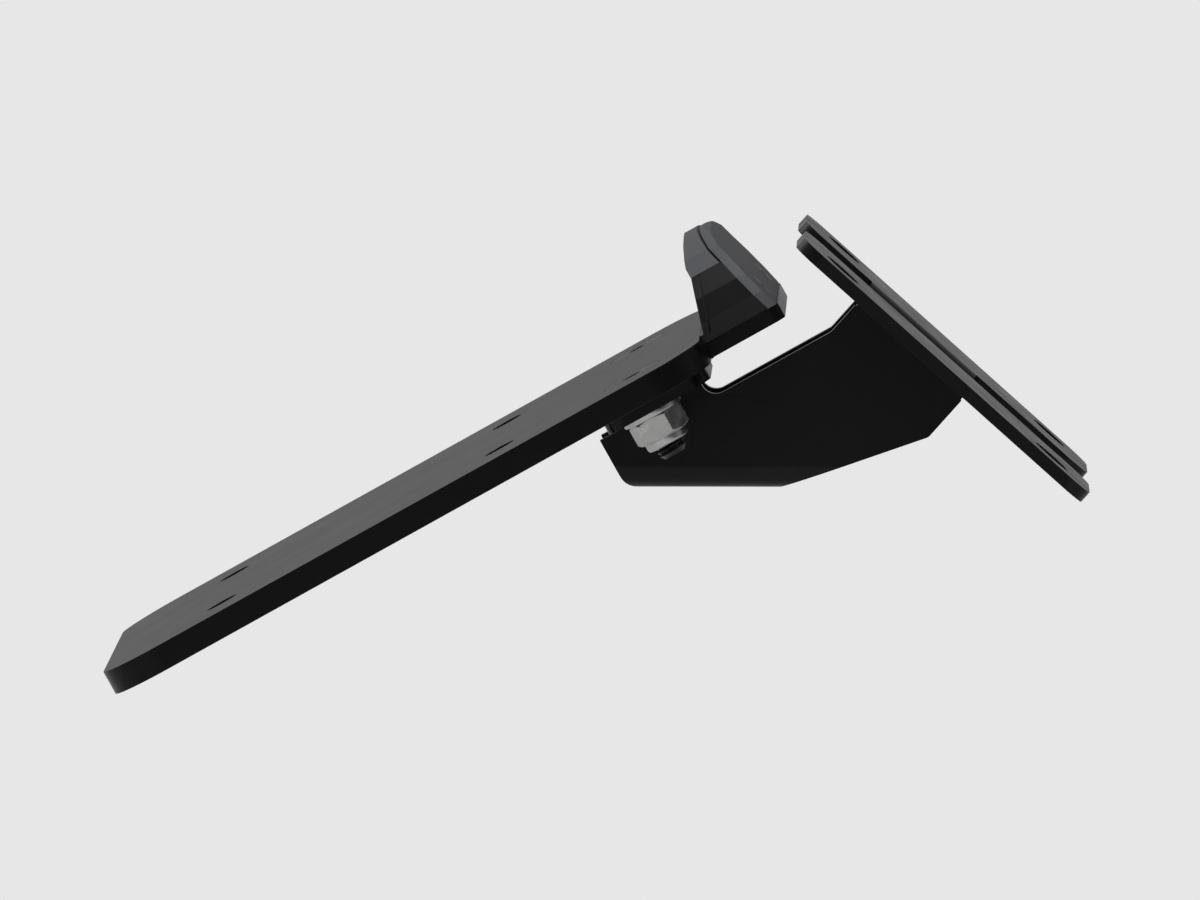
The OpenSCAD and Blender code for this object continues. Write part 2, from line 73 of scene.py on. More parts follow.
Profile = Sequence[tuple[float, float]]
Radius = Callable[[float], float]

LOG = logging.getLogger("tail_tidy")
MM = 0.001
TURN = 2 * math.pi
ROOT = "root"
SIDES = (-1, 1)  # the photographed side and the far side

# Sizes of the CAD copies' clean-up
WELD_MM = 0.0005  # vertices closer than this are one
FLAT_DEG = 0.4  # faces that turn less than this from their neighbour are one face
BEVEL_DEG = 28  # edges that turn more than this are broken
CREASE_DEG = 32  # edges that turn more than this are shaded sharp
EDGE_SEGMENTS = 2  # faces across a broken edge

# Rings of turned shapes
ROUND_STEPS = 48
WASHER_STEPS = 72
NUT_STEPS = 96
POINT_R = 0.05  # radius in millimetres of the ring that closes a face's middle

# Noise textures: their octaves, and the values between which most of the noise lies
GRAIN_DETAIL = 3.0
MOTTLE_DETAIL = 4.0
NOISE_LOW, NOISE_HIGH = 0.3, 0.7

# Screw threads: steepness of the flanks for each turn, and the flat share of the crest
THREAD_FLANK = 2.3
THREAD_CREST = 0.12

SPIN_SEED = 7
SQUARENESS = 10  # even power that rounds a square's corners, which higher ones sharpen


class Slot(Enum):
    """The record's material slots, listed beside each new piece's finish."""

    BRACKET = "black_powder_coat"
    PLATE = "black_anodised"
    BLACK_STEEL = "black_steel"
    ZINC = "zinc_steel"
    NYLON = "nylon"
    BODY = "black_plastic"
    TRIM = "grey_anodised"
    LENS = "clear_lens"
    RUBBER = "rubber"
    BOARD = "circuit_board"
    LED = "led"
    CHIP = "chip"


def linear(hex_colour: str) -> tuple[float, float, float, float]:
    """Turn an sRGB hex colour into linear red, green, blue and alpha, by the sRGB curve.

    Args:
        hex_colour: A colour such as "#1b1c1e".

    Returns:
        The linear colour with an alpha of 1.
    """
    parts = [int(hex_colour[i : i + 2], 16) / 255 for i in (1, 3, 5)]
    red, green, blue = (
        part / 12.92 if part <= 0.04045 else ((part + 0.055) / 1.055) ** 2.4 for part in parts
    )
    return (red, green, blue, 1.0)


def add_node(
    tree: Tree, kind: str, settings: dict | None = None, sockets: dict | None = None
) -> bpy.types.Node:
    """Add a node, give it its settings, and fill or link its inputs.

    Args:
        tree: The node tree that gets the node.
        kind: The node's type name.
        settings: Values of the node's own properties.
        sockets: Input names or numbers, each with a value or another node's output.

    Returns:
        The new node.
    """
    node = tree.nodes.new(kind)
    for name, value in (settings or {}).items():
        setattr(node, name, value)
    for key, value in (sockets or {}).items():
        if isinstance(value, Socket):
            tree.links.new(value, node.inputs[key])
        else:
            node.inputs[key].default_value = value
    return node


def noise(tree: Tree, place: Socket, size_mm: float, detail: float) -> Socket:
    """Add a noise pattern.

    Args:
        tree: The node tree.
        place: Object coordinates.
        size_mm: Size of the pattern's spots.
        detail: How many finer octaves it has.

    Returns:
        The pattern, from 0 to 1.
    """
    sockets = {"Vector": place, "Scale": 1 / (size_mm * MM), "Detail": detail}
    return add_node(tree, "ShaderNodeTexNoise", sockets=sockets).outputs["Fac"]


def empty_tree(owner: Material | bpy.types.World) -> Tree:
    """Give a material or the world an empty node tree.

    Args:
        owner: The material or world.

    Returns:
        Its tree.
    """
    owner.use_nodes = True
    owner.node_tree.nodes.clear()
    return owner.node_tree


def ramp(
    tree: Tree,
    value: Socket,
    reach: tuple[float, float],
    results: tuple[float, float] = (0.0, 1.0),
) -> Socket:
    """Go smoothly from one result to another while a value passes through a range.

    Args:
        tree: The node tree.
        value: The value.
        reach: Where the change starts and ends.
        results: The results there.

    Returns:
        The result.
    """
    node = add_node(
        tree,
        "ShaderNodeMapRange",
        settings={"interpolation_type": "SMOOTHSTEP"},
        sockets={
            "Value": value,
            "From Min": reach[0],
            "From Max": reach[1],
            "To Min": results[0],
            "To Max": results[1],
        },
    )
    return node.outputs["Result"]


def combine(tree: Tree, operation: str, first: Socket, second: Socket) -> Socket:
    """Join two values by one operation.

    Args:
        tree: The node tree.
        operation: The operation's name.
        first: The first value.
        second: The second value.

    Returns:
        The result.
    """
    node = add_node(
        tree, "ShaderNodeMath", settings={"operation": operation}, sockets={0: first, 1: second}
    )
    return node.outputs[0]


def mixed(tree: Tree, share: Socket, first: Socket, second: Socket) -> Socket:
    """Mix two shaders.

    Args:
        tree: The node tree.
        share: The second shader's share, from 0 to 1.
        first: The first shader.
        second: The second shader.

    Returns:
        The mixed shader.
    """
    node = add_node(tree, "ShaderNodeMixShader", sockets={0: share, 1: first, 2: second})
    return node.outputs[0]


def shiny_rays(tree: Tree, rays: bpy.types.Node) -> Socket:
    """Tell rays that gloss or glass sends on from all others.

    Args:
        tree: The node tree.
        rays: Its light path node.

    Returns:
        One for such rays, otherwise 0.
    """
    glossy, through = rays.outputs["Is Glossy Ray"], rays.outputs["Is Transmission Ray"]
    return combine(tree, "MAXIMUM", glossy, through)


@dataclass(frozen=True)
class Finish:
    """A surface finish: its colour, its gloss and the fine relief that it has.

    The relief and the colour's unevenness are noise in object coordinates, with their
    sizes in millimetres.
    """

    name: str
    colour: str
    roughness: float
    metallic: float = 0.0
    specular: float = 0.5
    mottle: float = 0.08
    mottle_mm: float = 6.0
    grain_mm: float = 0.4
    grain_height_mm: float = 0.006
    gloss_spread: float = 0.05

    def shader_inputs(self) -> dict:
        """Inputs that are the same all over the surface."""
        return {"Metallic": self.metallic, "Specular IOR Level": self.specular}

    def material(self) -> Material:
        """Build the finish as a material, or return it if it is there already.

        Returns:
            The material.
        """
        found = bpy.data.materials.get(self.name)
        if found:
            return found
        made = bpy.data.materials.new(self.name)
        tree = empty_tree(made)
        place = add_node(tree, "ShaderNodeTexCoord").outputs["Object"]
        patches = noise(tree, place, self.mottle_mm, MOTTLE_DETAIL)
        dark = [part * (1 - self.mottle) for part in linear(self.colour)[:3]] + [1.0]
        light = [part * (1 + self.mottle) for part in linear(self.colour)[:3]] + [1.0]
        colour = add_node(
            tree,
            "ShaderNodeMix",
            settings={"data_type": "RGBA"},
            sockets={0: patches, 6: dark, 7: light},
        )
        gloss = add_node(
            tree,
            "ShaderNodeMapRange",
            sockets={
                "Value": patches,
                "From Min": NOISE_LOW,
                "From Max": NOISE_HIGH,
                "To Min": self.roughness - self.gloss_spread,
                "To Max": self.roughness + self.gloss_spread,
            },
        )
        bump = add_node(
            tree,
            "ShaderNodeBump",
            sockets={
                "Height": noise(tree, place, self.grain_mm, GRAIN_DETAIL),
                "Distance": self.grain_height_mm * MM,
                "Strength": 1.0,
            },
        )
        shader = add_node(
            tree,
            "ShaderNodeBsdfPrincipled",
            sockets={
                "Base Color": colour.outputs[2],
                "Roughness": gloss.outputs["Result"],
                "Normal": bump.outputs["Normal"],
                **self.shader_inputs(),
            },
        )
        add_node(tree, "ShaderNodeOutputMaterial", sockets={"Surface": shader.outputs[0]})
        return made


@dataclass(frozen=True)
class ClearPlastic(Finish):
    """Moulded clear polycarbonate: glassy, hardly tinted, with a faint ripple."""

    ior: float = 1.585

    def shader_inputs(self) -> dict:
        """Inputs that are the same all over the surface."""
        return {**super().shader_inputs(), "Transmission Weight": 1.0, "IOR": self.ior}


@dataclass(frozen=True)
class LitPhosphor(Finish):
    """Phosphor gel over a diode: soft and waxy, so light goes some way into it."""

    depth_mm: float = 0.4
    share: float = 0.3

    def shader_inputs(self) -> dict:
        """Inputs that are the same all over the surface."""
        return {
            **super().shader_inputs(),
            "Subsurface Weight": self.share,
            "Subsurface Scale": self.depth_mm * MM,
        }


# Polyester powder baked on steel: deep black with a fine orange peel
POWDER_COAT = Finish(
    "powder_coated_steel", "#08080a", 0.32, specular=0.17, grain_mm=0.6, grain_height_mm=0.004
)
# Bead-blasted and anodised aluminium: an even satin black, with a sheen at a slant
BLACK_ANODISED = Finish(
    "black_anodised_aluminium",
    "#09090a",
    0.32,
    specular=0.11,
    mottle=0.04,
    mottle_mm=11,
    grain_mm=0.3,
    grain_height_mm=0.002,
    gloss_spread=0.012,
)
# The same blasting with a thinner dye, so it looks dark grey
GREY_ANODISED = Finish(
    "grey_anodised_aluminium",
    "#5a5b5e",
    0.62,
    metallic=0.05,
    specular=0.06,
    mottle=0.05,
    mottle_mm=8,
    grain_mm=0.3,
    grain_height_mm=0.003,
    gloss_spread=0.02,
)
# Black oxide on hardened steel: oily black, with the steel's own gloss
BLACK_OXIDE = Finish(
    "black_oxide_steel", "#1d1d1f", 0.36, metallic=0.6, grain_mm=0.25, grain_height_mm=0.002
)
# Bright zinc plate: pale silver with soft clouds
ZINC_PLATE = Finish(
    "zinc_plated_steel",
    "#adadac",
    0.33,
    metallic=1.0,
    mottle=0.1,
    mottle_mm=1.6,
    grain_mm=0.3,
    grain_height_mm=0.003,
    gloss_spread=0.09,
)
# Natural nylon: milky and waxy
NYLON = Finish("natural_nylon", "#d6d4c8", 0.45, mottle_mm=2, grain_mm=0.4)
# Spark-eroded moulded ABS: dull black with a fine grain
MOULDED_ABS = Finish(
    "moulded_black_abs",
    "#111113",
    0.4,
    specular=0.2,
    mottle_mm=5,
    grain_mm=0.35,
    grain_height_mm=0.004,
)
# Clear polycarbonate
CLEAR_LENS = ClearPlastic(
    "clear_polycarbonate",
    "#e4e7e6",
    0.07,
    mottle=0.01,
    grain_mm=2.5,
    grain_height_mm=0.004,
    gloss_spread=0.02,
)
# Painted shade: black on the lens's side faces, standing in for the darkness of its clear edge;
# slightly glossy
LENS_EDGE_SHADE = Finish("black_rim_ink", "#0c0c0d", 0.36, specular=0.25, grain_mm=0.2, mottle_mm=2)
# Moulded nitrile rubber: matt, near black
RUBBER = Finish("moulded_rubber", "#121212", 0.8, grain_mm=0.3, grain_height_mm=0.01)
# White solder mask over copper: smooth gloss with slight waves over the tracks
SOLDER_MASK = Finish(
    "white_solder_mask", "#e3e4df", 0.28, mottle=0.03, grain_mm=1.1, grain_height_mm=0.02
)
# White moulded case of a diode
LED_CASE = Finish("white_diode_case", "#ece9dd", 0.4, grain_mm=0.3, grain_height_mm=0.002)
# Yellow phosphor gel
PHOSPHOR = LitPhosphor("yellow_phosphor", "#e2b93a", 0.25, grain_mm=0.15, grain_height_mm=0.01)
# Tinned ends and pads
SOLDER = Finish("tinned_copper", "#b9bbbd", 0.35, metallic=1.0, grain_mm=0.2)
# Glazed black top of a chip part
CHIP_TOP = Finish("glazed_chip", "#17181a", 0.3, grain_mm=0.15, grain_height_mm=0.002)


def link(name: str, mesh: Mesh) -> Object:
    """Put a mesh in the scene as an object at the origin.

    Args:
        name: The object's name.
        mesh: Its mesh, in place.

    Returns:
        The new object.
    """
    made = bpy.data.objects.new(name, mesh)
    bpy.context.scene.collection.objects.link(made)
    return made


def baked(carrier: Object) -> Object:
    """Turn an object's modifiers into its mesh.

    Args:
        carrier: The object with modifiers.

    Returns:
        The same object with a plain mesh.
    """
    graph = bpy.context.evaluated_depsgraph_get()
    mesh = bpy.data.meshes.new_from_object(carrier.evaluated_get(graph))
    carrier.modifiers.clear()
    carrier.data = mesh
    mesh.name = carrier.name
    return carrier


def shade(piece: Object) -> Object:
    """Shade a piece smooth, with its edges sharp past the crease angle.

    Args:
        piece: The object.

    Returns:
        The same object.
    """
    piece.data.shade_smooth()
    piece.data.set_sharp_from_angle(angle=math.radians(CREASE_DEG))
    return piece


def dress(piece: Object, finish: Finish, node: str) -> Object:
    """Give a new piece its material and body, and hide the CAD node that it stands for.

    Args:
        piece: The finished object.
        finish: Its finish.
        node: CAD node that it replaces, alone or with other pieces.

    Returns:
        The same object.
    """
    piece.data.materials.clear()
    piece.data.materials.append(finish.material())
    for face in piece.data.polygons:
        face.material_index = 0
    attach(piece, ROOT)
    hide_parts(node)
    LOG.info("%s: %d faces, %s", piece.name, len(piece.data.polygons), finish.name)
    return piece


def eased_copy(node: Object, name: str, ease_mm: float) -> Object:
    """Copy a CAD node with its edges broken by a small bevel, and its flat faces level.

    Args:
        node: The CAD node's object.
        name: The new piece's name.
        ease_mm: Width of the bevel.

    Returns:
        The new piece.
    """
    work = bmesh.new()
    work.from_mesh(node.data)
    bmesh.ops.remove_doubles(work, verts=work.verts, dist=WELD_MM * MM)
    bmesh.ops.dissolve_limit(
        work,
        angle_limit=math.radians(FLAT_DEG),
        use_dissolve_boundaries=False,
        verts=work.verts,
        edges=work.edges,
    )
    made = link(name, mesh_of(work, name))
    bevel = made.modifiers.new("ease", "BEVEL")
    bevel.width = ease_mm * MM
    bevel.segments = EDGE_SEGMENTS
    bevel.limit_method = "ANGLE"
    bevel.angle_limit = math.radians(BEVEL_DEG)
    bevel.use_clamp_overlap = True
    bevel.miter_outer = "MITER_SHARP"
    shade(baked(made))
    level = made.modifiers.new("level", "WEIGHTED_NORMAL")
    level.keep_sharp = True
    return baked(made)


def mesh_of(work: bmesh.types.BMesh, name: str) -> Mesh:
    """Turn a work mesh into a named mesh.

    Args:
        work: The work mesh, which is freed.
        name: The mesh's name.

    Returns:
        The mesh.
    """
    mesh = bpy.data.meshes.new(name)
    work.to_mesh(mesh)
    work.free()
    return mesh


def loft(name: str, rings: Sequence[Sequence[Vector]], closed: bool = False) -> Mesh:
    """Skin a row of rings that have as many points each.

    Args:
        name: The mesh's name.
        rings: The rings, from one end to the other.
        closed: Whether the last ring joins the first, as on a nut or washer; otherwise
            both ends are capped.

    Returns:
        A closed mesh with its faces pointing outwards.
    """
    work = bmesh.new()
    rows = [[work.verts.new(point) for point in ring] for ring in rings]
    pairs = list(zip(rows, rows[1:]))
    if closed:
        pairs.append((rows[-1], rows[0]))
    for low, high in pairs:
        for i in range(len(low)):
            j = (i + 1) % len(low)
            work.faces.new((low[i], low[j], high[j], high[i]))
    if not closed:
        work.faces.new(list(reversed(rows[0])))
        work.faces.new(rows[-1])
    bmesh.ops.recalc_face_normals(work, faces=work.faces)
    return mesh_of(work, name)


def ring(radius: float | Radius, z: float, steps: int = ROUND_STEPS) -> list[Vector]:
    """Make one ring about the z axis, in metres from millimetres.

    Args:
        radius: Its radius, or a function of the angle.
        z: Its height.
        steps: How many points it has.

    Returns:
        Its points.
    """
    points = []
    for i in range(steps):
        angle = TURN * i / steps
        r = radius(angle) if callable(radius) else radius
        points.append(Vector((r * math.cos(angle), r * math.sin(angle), z)) * MM)
    return points


def rings_of(profile: Profile, steps: int = ROUND_STEPS) -> list[list[Vector]]:
    """Make one round ring for each point of a profile.

    Args:
        profile: Each ring's radius and height, in millimetres.
        steps: How many points each ring has.

    Returns:
        The rings.
    """
    return [ring(radius, z, steps) for radius, z in profile]


def hexagon(across_flats: float) -> Radius:
    """The radius of a hexagon's outline as a function of the angle.

    Args:
        across_flats: The hexagon's width between two flats, in millimetres.

    Returns:
        The function.
    """

    def radius(angle: float) -> float:
        """The radius at one angle."""
        off = (angle + TURN / 12) % (TURN / 6) - TURN / 12
        return across_flats / 2 / math.cos(off)

    return radius


def rounded_square(side: float) -> Radius:
    """The radius of a square's outline with round corners, as a function of the angle.

    Args:
        side: The square's width, in millimetres.

    Returns:
        The function.
    """

    def radius(angle: float) -> float:
        """The radius at one angle."""
        power = math.cos(angle) ** SQUARENESS + math.sin(angle) ** SQUARENESS
        return side / 2 / power ** (1 / SQUARENESS)

    return radius


def blocks(name: str, boxes: Iterable[tuple[Corner, Corner]], ease_mm: float) -> Mesh:
    """Make rectangular blocks with rounded edges.

    Args:
        name: The mesh's name.
        boxes: Each block's lowest and highest corner, in millimetres.
        ease_mm: Width of the rounding.

    Returns:
        One mesh with all blocks.
    """
    work = bmesh.new()
    for low, high in boxes:
        low, high = Vector(low) * MM, Vector(high) * MM
        place = Matrix.Translation((low + high) / 2) @ Matrix.Diagonal((*(high - low), 1))
        bmesh.ops.create_cube(work, size=1, matrix=place)
    bmesh.ops.bevel(
        work,
        geom=work.edges[:],
        offset=ease_mm * MM,
        segments=EDGE_SEGMENTS,
        profile=0.5,
        affect="EDGES",
    )
    return mesh_of(work, name)


def thread(radius: float, pitch: float, depth: float, z: float) -> Radius:
    """The radius of a screw thread at one height, as a function of the angle.

    Args:
        radius: The outer radius, in millimetres.
        pitch: Height of one turn.
        depth: Depth of the thread.
        z: The height.

    Returns:
        The function.
    """

    def at(angle: float) -> float:
        """The radius at one angle."""
        turn = (z / pitch - angle / TURN) % 1
        groove = THREAD_FLANK * abs(turn - 0.5) - THREAD_CREST
        return radius - depth * min(1.0, max(0.0, groove))

    return at


class RowTree:
    """A geometry node tree that sets copies of a shape along a line."""

    name = "pieces_in_a_row"

    def __init__(self) -> None:
        """Build the tree."""
        tree = bpy.data.node_groups.new(self.name, "GeometryNodeTree")
        for label, kind in (
            ("Shape", "NodeSocketObject"),
            ("Count", "NodeSocketInt"),
            ("First", "NodeSocketVector"),
            ("Step", "NodeSocketVector"),
            ("Turn", "NodeSocketVector"),
            ("Spin", "NodeSocketFloat"),
            ("Finish", "NodeSocketMaterial"),
        ):
            tree.interface.new_socket(name=label, in_out="INPUT", socket_type=kind)
        tree.interface.new_socket(
            name="Geometry", in_out="OUTPUT", socket_type="NodeSocketGeometry"
        )
        given = add_node(tree, "NodeGroupInput").outputs
        line = add_node(
            tree,
            "GeometryNodeMeshLine",
            settings={"mode": "OFFSET"},
            sockets={
                "Count": given["Count"],
                "Start Location": given["First"],
                "Offset": given["Step"],
            },
        )
        shape = add_node(
            tree, "GeometryNodeObjectInfo", sockets={"Object": given["Shape"], "As Instance": True}
        )
        spin = add_node(
            tree,
            "FunctionNodeRandomValue",
            settings={"data_type": "FLOAT"},
            sockets={"Max": given["Spin"], "Seed": SPIN_SEED},
        )
        own_turn = add_node(tree, "ShaderNodeCombineXYZ", sockets={"Z": spin.outputs[1]})
        copies = add_node(
            tree,
            "GeometryNodeInstanceOnPoints",
            sockets={
                "Points": line.outputs["Mesh"],
                "Instance": shape.outputs["Geometry"],
                "Rotation": given["Turn"],
            },
        )
        turned = add_node(
            tree,
            "GeometryNodeRotateInstances",
            sockets={
                "Instances": copies.outputs["Instances"],
                "Rotation": own_turn.outputs["Vector"],
                "Local Space": True,
            },
        )
        real = add_node(
            tree, "GeometryNodeRealizeInstances", sockets={"Geometry": turned.outputs["Instances"]}
        )
        finished = add_node(
            tree,
            "GeometryNodeSetMaterial",
            sockets={"Geometry": real.outputs["Geometry"], "Material": given["Finish"]},
        )
        add_node(tree, "NodeGroupOutput", sockets={"Geometry": finished.outputs["Geometry"]})
        self.tree = tree

    def row(
        self,
        name: str,
        shape: Mesh,
        places: Sequence[Vector],
        turn: Matrix,
        finish: Finish,
        spin: float = 0.0,
    ) -> Object:
        """Set one copy of a shape at each of a row of evenly spaced places.

        Args:
            name: The new piece's name.
            shape: The shape, about its own z axis.
            places: The places, in the row frame.
            turn: The turn from the shape's own axes to the row frame's.
            finish: The finish that the copies get.
            spin: How far each copy may turn about its own axis, in radians.

        Returns:
            One object with all copies in its mesh.
        """
        source = link(f"{name}_shape", shape)
        carrier = link(name, bpy.data.meshes.new(name))
        modifier = carrier.modifiers.new("row", "NODES")
        modifier.node_group = self.tree
        step = places[1] - places[0] if len(places) > 1 else Vector()
        values = {
            "Shape": source,
            "Count": len(places),
            "First": places[0],
            "Step": step,
            "Turn": turn.to_euler(),
            "Spin": spin,
            "Finish": finish.material(),
        }
        for item in self.tree.interface.items_tree:
            if item.in_out == "INPUT":
                modifier[item.identifier] = values[item.name]
        baked(carrier)
        bpy.data.objects.remove(source)
        return shade(carrier)


@dataclass(frozen=True)
class Layout:
    """Where the holder and the lamp's faces lie in the row frame, in millimetres."""

    plate_t: float = 4
    slope_deg: float = 29.2
    reach: float = 38.9
    rise: float = 4.3
    lens_x: float = 0.7
    lens_lean_deg: float = 16.5
    front_x: float = 13.0
    front_base: float = -1.5
    front_lean_deg: float = 15.5

    def holder(self) -> Matrix:
        """Find the turn and shift from the holder's own axes to the row frame.

        Returns:
            The matrix.
        """
        move = Matrix.Translation(Vector((-self.reach, 0, self.rise)) * MM)
        return move @ Matrix.Rotation(-math.radians(self.slope_deg), 4, "Y")

    def lens(self, y: float, height: float, depth: float = 0.0) -> Matrix:
        """A place behind the lens's outer face, with z into the lamp.

        Args:
            y: Distance to the side.
            height: Height over the plate.
            depth: Depth behind the face.

        Returns:
            The matrix.
        """
        lean = math.radians(self.lens_lean_deg)
        place = Vector((self.lens_x + height * math.tan(lean), y, height)) * MM
        turn = Matrix.Rotation(TURN / 4 + lean, 4, "Y")
        inward = Matrix.Translation(Vector((0, 0, depth)) * MM)
        return self.holder() @ Matrix.Translation(place) @ turn @ inward

    def front(self, y: float, height: float) -> Matrix:
        """A place on the front plate's outer face, with z into the lamp.

        Args:
            y: Distance to the side.
            height: Height over the plate.

        Returns:
            The matrix.
        """
        lean = math.radians(self.front_lean_deg)
        x = self.front_x - (height - self.front_base) * math.tan(lean)
        turn = Matrix.Rotation(-TURN / 4 - lean, 4, "Y")
        return self.holder() @ Matrix.Translation(Vector((x, y, height)) * MM) @ turn

    def upward(self, x: float, y: float, z: float) -> Matrix:
        """A place on the holder, with z up out of its face.

        Args:
            x: Distance up the slope.
            y: Distance to the side.
            z: Height over the plate.

        Returns:
            The matrix.
        """
        return self.holder() @ Matrix.Translation(Vector((x, y, z)) * MM)

    def under(self, x: float, y: float, z: float) -> Matrix:
        """The same place with z down out of the holder's underside.

        Args:
            x: Distance up the slope.
            y: Distance to the side.
            z: Height over the plate.

        Returns:
            The matrix.
        """
        return self.upward(x, y, z) @ Matrix.Rotation(TURN / 2, 4, "X")


def split(places: Iterable[Matrix]) -> tuple[list[Vector], Matrix]:
    """Take matrices that share one turn apart.

    Args:
        places: The matrices.

    Returns:
        Their places and their shared turn.
    """
    found = list(places)
    return [place.to_translation() for place in found], found[0].to_3x3().to_4x4()


@dataclass(frozen=True)
class Sheetwork:
    """The bracket and the holder plate; sizes in millimetres."""

    nodes: dict[str, Object]
    plate_ease: float = 0.3
    bracket_ease: float = 0.22

    def build(self) -> None:
        """Build both pieces."""
        plate = eased_copy(self.nodes["plate_holder"], "holder_plate", self.plate_ease)
        dress(plate, BLACK_ANODISED, "plate_holder")
        bracket = eased_copy(self.nodes["mount_bracket"], "folded_bracket", self.bracket_ease)
        dress(bracket, POWDER_COAT, "mount_bracket")


@dataclass(frozen=True)
class PlateFasteners:
    """The two bolts, washers and lock nuts that hold the plate to the flanges.

    All sizes are in millimetres.
    """

    layout: Layout
    rows: RowTree
    bolt_back: float = 12.1
    bolt_y: float = 28
    sheet_t: float = 2
    # Bolt
    bolt_r: float = 2.5
    bolt_l: float = 14
    head_r: float = 4.85
    head_land: float = 0.2
    head_rim_w: float = 0.12
    head_rim_h: float = 0.08
    socket_af: float = 3
    socket_depth: float = 1.6
    socket_chamfer: float = 0.15
    socket_taper: float = 0.96
    socket_taper_h: float = 0.1
    drill_point: float = 0.5
    pitch: float = 0.8
    thread_depth: float = 0.42
    thread_start: float = 0.3
    thread_end: float = 0.6
    rings_per_turn: int = 7
    tip_h: float = 0.35
    tip_w: float = 0.7
    # Washer
    washer_r: float = 5
    washer_t: float = 1
    washer_clearance: float = 0.15
    washer_burr: float = 0.1
    sharp_rim_w: float = 0.05
    sharp_rim_h: float = 0.06
    round_rim: float = 0.22
    round_rim_middle: float = 0.07
    # Lock nut
    nut_af: float = 8
    nut_h: float = 5
    nut_hex_h: float = 3.6
    chamfer_w: float = 0.62
    chamfer_slope: float = 1.7
    chamfer_steps: tuple[float, ...] = (0.0, 0.07, 0.14, 0.21, 0.28, 0.36)
    collar_r: float = 3.55
    collar_fillet: float = 0.16
    roll_h: float = 0.45
    roll_w: float = 0.4
    roll_middle_h: float = 0.15
    roll_middle_w: float = 0.12
    insert_r: float = 3.25
    lip: float = 0.3
    lip_rise: float = 0.05
    lip_drop: float = 0.02
    entry: float = 0.2
    seam: float = 0.01

    def places(self, z: float) -> tuple[list[Vector], Matrix]:
        """Find the two places at one height over the plate.

        Args:
            z: The height over the plate's upper face, negative below it.

        Returns:
            The places and their shared turn, with z pointing down.
        """
        return split(
            self.layout.under(-self.bolt_back, side * self.bolt_y, z) for side in SIDES
        )

    def bolt(self) -> Mesh:
        """A countersunk bolt with a hexagon socket, its head at z = 0 and its tip up z.

        Returns:
            The mesh.
        """
        socket = hexagon(self.socket_af)
        shank = self.head_land + self.head_r - self.bolt_r
        rings = [
            ring(POINT_R, self.socket_depth + self.drill_point),
            ring(lambda a: socket(a) * self.socket_taper, self.socket_depth),
            ring(socket, self.socket_depth - self.socket_taper_h),
            ring(socket, self.socket_chamfer),
            ring(lambda a: socket(a) + self.socket_chamfer, 0.0),
            ring(self.head_r - self.head_rim_w, 0.0),
            ring(self.head_r, self.head_rim_h),
            ring(self.head_r, self.head_land),
            ring(self.bolt_r, shank),
        ]
        z = shank + self.thread_start
        while z < self.bolt_l - self.thread_end:
            rings.append(ring(thread(self.bolt_r, self.pitch, self.thread_depth, z), z))
            z += self.pitch / self.rings_per_turn
        rings.append(ring(self.bolt_r - self.thread_depth, self.bolt_l - self.tip_h))
        rings.append(ring(self.bolt_r - self.tip_w, self.bolt_l))
        return loft("bolt_shape", rings)

    def washer(self) -> Mesh:
        """A stamped washer, sharp at its lower rim and rounded at its upper one.

        Returns:
            The mesh.
        """
        hole = self.bolt_r + self.washer_clearance
        profile = [
            (hole, 0.0),
            (self.washer_r - self.sharp_rim_w, 0.0),
            (self.washer_r, self.sharp_rim_h),
            (self.washer_r, self.washer_t - self.round_rim),
            (self.washer_r - self.round_rim_middle, self.washer_t - self.round_rim_middle),
            (self.washer_r - self.round_rim, self.washer_t),
            (hole + self.washer_burr, self.washer_t),
            (hole, self.washer_t - self.washer_burr),
        ]
        return loft("washer_shape", rings_of(profile, WASHER_STEPS), closed=True)

    def hex_ring(self, z: float) -> list[Vector]:
        """The nut's hexagon at one height, cut by the cones that chamfer its corners.

        Args:
            z: The height over the nut's foot.

        Returns:
            The ring.
        """
        outline = hexagon(self.nut_af)
        corner = self.nut_af / 2 / math.cos(TURN / 12)
        near = min(z, self.nut_hex_h - z)
        cone = corner - self.chamfer_w + near * self.chamfer_slope
        return ring(lambda a: min(outline(a), cone), z, NUT_STEPS)

    def nut(self) -> Mesh:
        """A lock nut: a hexagon chamfered at both ends, and a collar with a rolled lip.

        Returns:
            The mesh.
        """
        foot, top = self.nut_hex_h, self.nut_h
        low = [self.hex_ring(z) for z in self.chamfer_steps]
        high = [self.hex_ring(foot - z) for z in reversed(self.chamfer_steps)]
        collar = [
            (self.collar_r + self.collar_fillet, foot + self.seam),
            (self.collar_r, foot + self.collar_fillet),
            (self.collar_r, top - self.roll_h),
            (self.collar_r - self.roll_middle_w, top - self.roll_middle_h),
            (self.collar_r - self.roll_w, top),
            (self.insert_r - self.lip + self.lip_rise, top - self.lip_drop),
            (self.insert_r - self.lip, top - self.lip),
            (self.insert_r, top - self.lip),
            (self.insert_r, foot + self.seam),
            (self.bolt_r, foot),
            (self.bolt_r, self.entry),
            (self.bolt_r + self.entry, 0.0),
        ]
        return loft("nut_shape", low + high + rings_of(collar, NUT_STEPS), closed=True)

    def insert(self) -> Mesh:
        """The nylon ring inside the nut's collar.

        Returns:
            The mesh.
        """
        low, high = self.nut_hex_h, self.nut_h - self.lip
        profile = [
            (self.bolt_r, low),
            (self.insert_r, low),
            (self.insert_r, high),
            (self.bolt_r + self.entry, high),
            (self.bolt_r, high - self.entry),
        ]
        return loft("insert_shape", rings_of(profile), closed=True)

